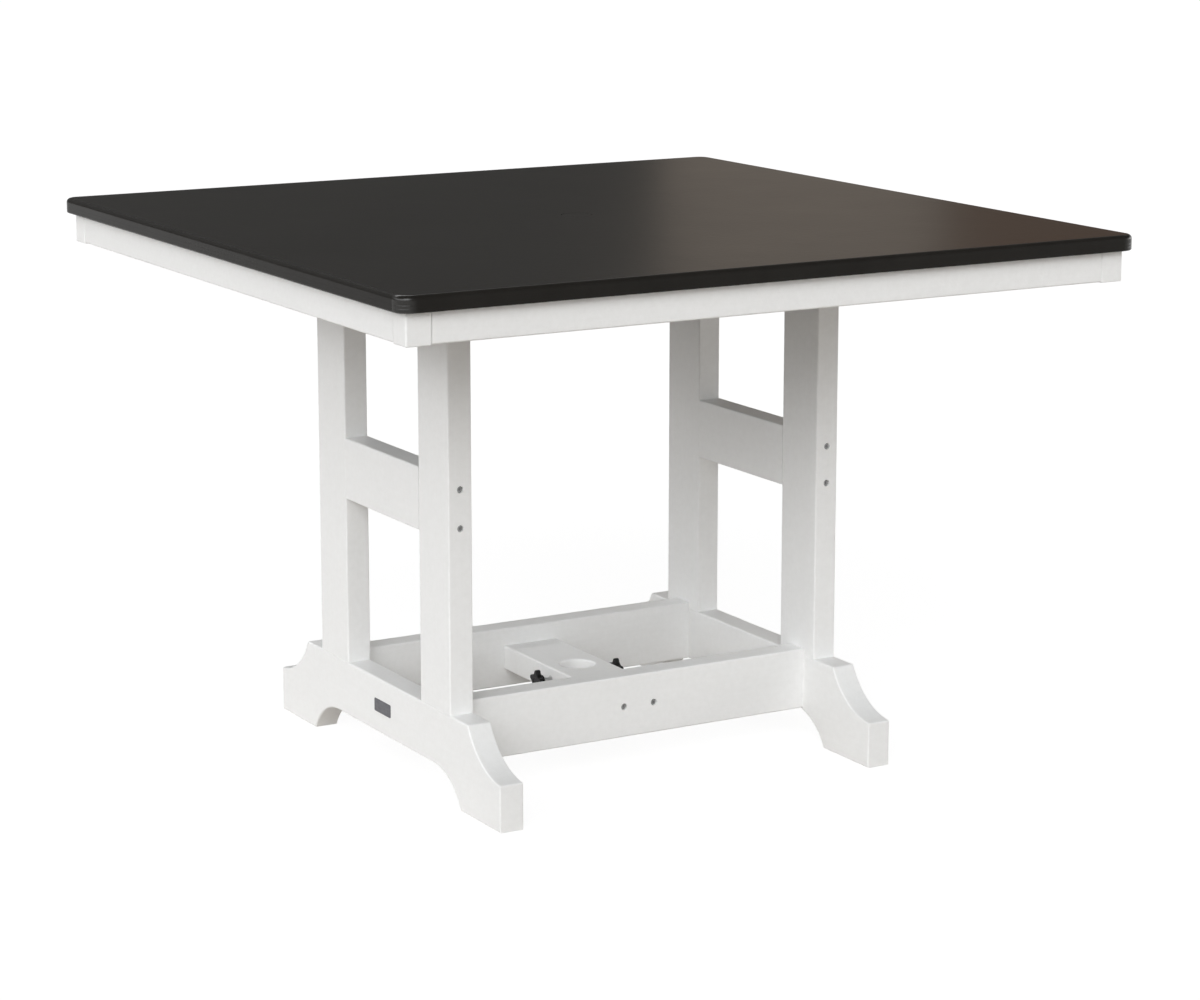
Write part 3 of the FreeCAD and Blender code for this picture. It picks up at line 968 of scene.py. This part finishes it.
@dataclass
class TagPlate:
    """The bare plate on the left foot, with a raised border."""

    face_x: float = -0.3147
    back_x: float = -0.3137
    middle: Span = (0.004, 0.0865)
    half: Span = (0.025, 0.0094)
    corner_round: float = 0.002
    corner_steps: int = 8
    rim_round: float = 0.0003
    rim_steps: int = 3
    border: float = 0.0012
    slope: float = 0.00025
    sunk: float = 0.00022

    def build(self, finishes: Finishes) -> None:
        """Model the plate and dress it in one of the table's finishes."""
        hand_over(self.plate(), finishes.plate, "frame", "grey_plate", "tag_plate")

    def plate(self) -> Piece:
        """The plate, with round corners, a soft rim and a sunk panel.

        Returns:
            The plate.
        """
        (y, z), (wide, tall) = self.middle, self.half
        low, high = (self.face_x, y - wide, z - tall), (self.back_x, y + wide, z + tall)
        plate = Bench.block("foot_plate", low, high)
        Bench.pick_edges(plate, lambda middle, way: abs(way.x) > ALONG)
        Bench.round_over(self.corner_round, self.corner_steps)
        Bench.pick_edges(plate, lambda middle, way: abs(middle.x - self.face_x) < SAME
                         and abs(way.x) < LEVEL)
        Bench.round_over(self.rim_round, self.rim_steps)
        Bench.pick_faces(plate, lambda middle, normal: normal.x < -FACING)
        for inward, rise in ((self.border, 0.0), (self.slope, self.sunk)):
            bpy.ops.mesh.inset(thickness=inward)
            bpy.ops.transform.translate(value=(rise, 0, 0))
        return Bench.smooth(Bench.outward(plate))


@dataclass(frozen=True)
class ScrewKind:
    """One size of screw: a domed head with a six-sided socket, a neck, a coarse thread, a point."""

    length: float
    shank: float
    neck: float = 0.014
    pitch: float = 0.0026
    head: float = 0.0045
    head_tall: float = 0.0045
    head_rim: float = 0.0012
    rim_steps: int = 6
    head_under: float = 0.0004
    head_sides: int = 40
    socket: float = 0.0022
    socket_deep: float = 0.0025
    socket_over: float = 0.001
    socket_sides: int = 6
    neck_share: float = 0.98
    neck_end_share: float = 0.6
    neck_end: Span = (0.0005, 0.001)
    root_share: float = 0.70
    thread_steps: int = 14
    point: float = 0.005
    point_share: float = 0.08
    sharp_degrees: float = 38.0

    def make(self, name: str) -> Piece:
        """One screw that points along Z, with the underside of its head at the origin.

        Args:
            name: The screw's name.

        Returns:
            The screw.
        """
        end, top = self.length - self.point, -self.head_tall
        screw = threaded_rod(name, self.shank * self.root_share, self.shank, self.pitch, self.neck,
                             end, self.thread_steps)
        head = Bench.turned("head", self.head_outline(), self.head_sides)
        Bench.carve(head, Bench.drum("socket", self.socket, top - self.socket_over,
                                     top + self.socket_deep, self.socket_sides))
        Bench.fuse(screw, head)
        Bench.pick_faces(screw, lambda middle, normal: normal.z > ALONG
                         and abs(middle.z - end) < SAME)
        Bench.pull(0, 0, self.point)
        bpy.ops.transform.resize(value=(self.point_share, self.point_share, 1),
                                 center_override=(0, 0, self.length))
        return Bench.smooth(Bench.outward(screw), self.sharp_degrees)

    def head_outline(self) -> list[Span]:
        """The half outline of the head and neck.

        Returns:
            Radii and heights, from the head's top to the neck's end.
        """
        top, rim = -self.head_tall, self.head_rim
        turns = [math.radians(90 * step / self.rim_steps) for step in range(self.rim_steps + 1)]
        dome = [(self.head - rim * (1 - math.sin(turn)), top + rim * (1 - math.cos(turn)))
                for turn in turns]
        neck, tip = self.shank * self.neck_share, self.shank * self.neck_end_share
        full, closed = (self.neck + more for more in self.neck_end)
        return [(0, top), *dome, (self.head, -self.head_under), (self.head - self.head_under, 0),
                (neck, 0), (neck, full), (tip, closed), (0, closed)]


@dataclass
class Fasteners:
    """The sets of screws, each set one piece."""

    long: ScrewKind = ScrewKind(0.127, 0.003)
    middle: ScrewKind = ScrewKind(0.090, 0.003)
    short: ScrewKind = ScrewKind(0.038, 0.0025, neck=0.008, pitch=0.0022)
    trestle_x: float = 0.2957
    post_y: float = 0.1593
    pair: float = 0.020
    rail_y: float = 0.19675
    rail_z: Span = (0.38515, 0.43885)
    block_place: Place = (0.0243, 0.1703, 0.09165)
    foot_z: float = 0.0672
    post_z: float = 0.740
    seat_z: float = 0.722
    bearer_y: Span = (0.0593, 0.3593)
    apron_line: float = 0.5315
    apron_away: float = 0.3988

    def build(self, finishes: Finishes) -> None:
        """Model and dress the six sets.

        Args:
            finishes: The table's finishes.
        """
        for node, kind, moves in self.sets():
            screws = Bench.copies(kind.make(node.replace("screws", "screw_set")), moves)
            hand_over(screws, finishes.steel, "frame", "steel", node)

    def sets(self) -> list[tuple[str, ScrewKind, list[Matrix]]]:
        """Where every screw goes.

        Returns:
            For each set its CAD node, its kind of screw and the move of each screw.
        """
        signs = [(a, b) for a in (-1, 1) for b in (-1, 1)]
        posts = [(a * self.trestle_x, b * (self.post_y + c * self.pair))
                 for a, b in signs for c in (-1, 1)]
        rails = [((a * self.trestle_x, b * self.rail_y, z), (0, -b, 0))
                 for a, b in signs for z in self.rail_z]
        x, y, z = self.block_place
        blocks = [((a * x, b * y, z), (0, -b, 0)) for a, b in signs]
        tops = [(a * self.trestle_x, b * y) for a, b in signs for y in self.bearer_y]
        line, away = self.apron_line, self.apron_away
        aprons = [place for a, b in signs for place in ((a * away, b * line), (a * line, b * away))]
        up, down = (0, 0, 1), (0, 0, -1)
        rows = (("rail_screws", self.long, rails),
                ("block_screws", self.middle, blocks),
                ("foot_screws", self.long, [((x, y, self.foot_z), up) for x, y in posts]),
                ("post_screws", self.middle, [((x, y, self.post_z), down) for x, y in posts]),
                ("top_screws", self.short, [((x, y, self.seat_z), up) for x, y in tops]),
                ("apron_screws", self.short, [((x, y, self.seat_z), up) for x, y in aprons]))
        return [(node, kind, [self.aim(place, way) for place, way in spots])
                for node, kind, spots in rows]

    @staticmethod
    def aim(place: Place, way: Place) -> Matrix:
        """The move that sets the underside of a screw's head at a place, pointing one way."""
        turn = Vector((0, 0, 1)).rotation_difference(Vector(way))
        return Matrix.Translation(place) @ turn.to_matrix().to_4x4()


@dataclass(frozen=True)
class SoftLight:
    """A wide soft light that wraps round part of the studio."""

    bearing: float
    focus: float
    level: float
    colour: Colour
    rise: tuple[Span, ...]

    def shine(self, sheet: Sheet, way: Socket, height: Socket) -> Socket:
        """The light in the world's nodes.

        Args:
            sheet: The world's sheet.
            way: The level direction that is looked in.
            height: The sine of the elevation that is looked at.

        Returns:
            The light's colour, which fades to both sides of its bearing, turned from +Y towards +X.
        """
        turn = math.radians(self.bearing)
        axis = (math.sin(turn), math.cos(turn), 0)
        facing = sheet.vector("DOT_PRODUCT", way, axis).outputs["Value"]
        fade = sheet.math("EXPONENT", sheet.math("MULTIPLY_ADD", facing, self.focus, -self.focus))
        share = sheet.math("MULTIPLY", fade, sheet.ramp(height, self.rise))
        shade = tuple(self.level * part for part in self.colour)
        inputs = {0: shade, "Scale": share}
        return sheet.add("VectorMath", inputs, operation="SCALE").outputs["Vector"]


@dataclass(frozen=True)
class GlowCard:
    """A dim card of light behind the table, which the camera does not see."""

    name: str
    bearing: float
    width_degrees: float
    level: float
    colour: Colour
    away: float = 9.0
    tall: float = 3.0
    foot: float = 0.2

    def hang(self, eye: Place) -> None:
        """Make the card's light.

        Args:
            eye: The camera's place, from which its bearing and width are taken.
        """
        turn = math.radians(self.bearing)
        lamp = bpy.data.lights.new(self.name, "AREA")
        lamp.shape = "RECTANGLE"
        lamp.size = 2 * self.away * math.tan(math.radians(self.width_degrees / 2))
        lamp.size_y = self.tall
        lamp.energy = self.level * math.pi * lamp.size * lamp.size_y
        lamp.color = self.colour
        card = bpy.data.objects.new(self.name, lamp)
        bpy.context.scene.collection.objects.link(card)
        card.location = (eye[0] + self.away * math.sin(turn), eye[1] + self.away * math.cos(turn),
                         self.foot + self.tall / 2)
        card.rotation_euler = (-math.pi / 2, 0, -turn)
        card.visible_camera = False


KEY = SoftLight(bearing=-105.0, focus=2.3, level=4.2, colour=(0.985, 1.0, 1.016),
                rise=((0.0, 0.0), (0.208, 0.62), (0.407, 1.0), (0.588, 0.0)))
FRONT = SoftLight(bearing=-148.0, focus=9.0, level=5.3, colour=(0.985, 1.0, 1.012),
                  rise=((0.208, 0.0), (0.407, 0.5), (0.588, 1.0), (0.766, 0.4), (0.883, 0.0)))
RIGHT = SoftLight(bearing=104.0, focus=8.0, level=4.5, colour=(1.0, 1.0, 0.99),
                  rise=((0.0, 0.95), (0.208, 0.8), (0.407, 0.0)))
REAR = SoftLight(bearing=6.0, focus=5.0, level=3.3, colour=(1.0, 1.0, 1.0),
                 rise=((0.50, 0.0), (0.60, 1.0), (0.70, 0.9), (0.79, 0.0)))
# The cards give the sheen on the right of the slab.
WARM = GlowCard("warm_card", bearing=33.6, width_degrees=5.0, level=0.31, colour=(1.0, 0.82, 0.66))
BROWN = GlowCard("brown_card", bearing=39.2, width_degrees=6.0, level=0.115,
                 colour=(1.0, 0.42, 0.13))


@dataclass
class Studio:
    """The camera, a pale floor and soft light that comes mostly from the camera's left."""

    eye: Place = (-2.2553, -3.9717, 1.3556)
    yaw: float = -29.8569
    pitch: float = 11.3100
    lens: float = 97.100
    sensor: float = 36.0
    shift: Span = (0.00699, -0.05)
    sight: float = 500.0
    floor_half: float = 60.0
    floor_colour: Colour = (0.540, 0.495, 0.445)
    floor_shown: Colour = (0.17, 0.17, 0.17)
    floor_glow: float = 0.905
    sky_colour: Colour = (0.036, 0.0333, 0.0298)
    lights: tuple[SoftLight, ...] = (KEY, FRONT, RIGHT, REAR)
    cards: tuple[GlowCard, ...] = (WARM, BROWN)

    def build(self) -> None:
        """Set up the floor, the light, the camera and the view."""
        self.lay_floor()
        self.light_sky()
        for card in self.cards:
            card.hang(self.eye)
        self.place_camera()
        bpy.context.scene.view_settings.view_transform = "Standard"

    def lay_floor(self) -> None:
        """The floor: pale for the light, nearly white where it is seen or mirrored."""
        Bench.clear()
        bpy.ops.mesh.primitive_plane_add(size=2 * self.floor_half, location=(0, 0, 0))
        floor = Bench.named("studio_floor")
        material, sheet, _ = new_material("pale_floor")
        path = sheet.add("LightPath").outputs
        seen = sheet.math("MAXIMUM", path["Is Camera Ray"], path["Is Glossy Ray"])
        seen = sheet.math("MAXIMUM", seen, path["Is Transmission Ray"])
        matt = sheet.add("BsdfDiffuse", {"Color": (*self.floor_colour, 1)})
        faint = sheet.add("BsdfDiffuse", {"Color": (*self.floor_shown, 1)})
        glow = sheet.add("Emission", {"Strength": self.floor_glow})
        shown = sheet.add("AddShader", {0: faint.outputs[0], 1: glow.outputs[0]})
        both = sheet.add("MixShader", {0: seen, 1: matt.outputs[0], 2: shown.outputs[0]})
        sheet.add("OutputMaterial", {"Surface": both.outputs[0]})
        floor.data.materials.append(material)

    def light_sky(self) -> None:
        """A dim dome with wide soft lights: a key from the left, and three fills."""
        world = bpy.data.worlds.new("studio_dome")
        world.use_nodes = True
        bpy.context.scene.world = world
        sheet = Sheet(world.node_tree)
        way = sheet.add("TexCoord").outputs["Generated"]
        level = sheet.vector("MULTIPLY", way, (1, 1, 0)).outputs["Vector"]
        level = sheet.vector("NORMALIZE", level).outputs["Vector"]
        height = sheet.add("SeparateXYZ", {0: way}).outputs["Z"]
        total = self.sky_colour
        for light in self.lights:
            total = sheet.vector("ADD", total, light.shine(sheet, level, height)).outputs["Vector"]
        shader = sheet.add("Background", {"Color": total, "Strength": 1.0})
        sheet.add("OutputWorld", {"Surface": shader.outputs[0]})

    def place_camera(self) -> None:
        """The camera at the photograph's place and angle."""
        data = bpy.data.cameras.new("camera")
        data.lens = self.lens
        data.sensor_width = self.sensor
        data.shift_x, data.shift_y = self.shift
        data.clip_end = self.sight
        camera = bpy.data.objects.new("camera", data)
        bpy.context.scene.collection.objects.link(camera)
        camera.location = self.eye
        camera.rotation_euler = (math.radians(90 - self.pitch), 0, math.radians(self.yaw))
        bpy.context.scene.camera = camera


def main() -> None:
    """Dress the table and set up the studio."""
    logging.basicConfig(level=logging.INFO, format="%(name)s: %(message)s")
    finishes = Finishes()
    TableTop().build(finishes)
    BoardFrame().build(finishes)
    for side in Side:
        PoleClamp(side).build(finishes)
    TagPlate().build(finishes)
    Fasteners().build(finishes)
    Studio().build()


if __name__ == "__main__":
    main()
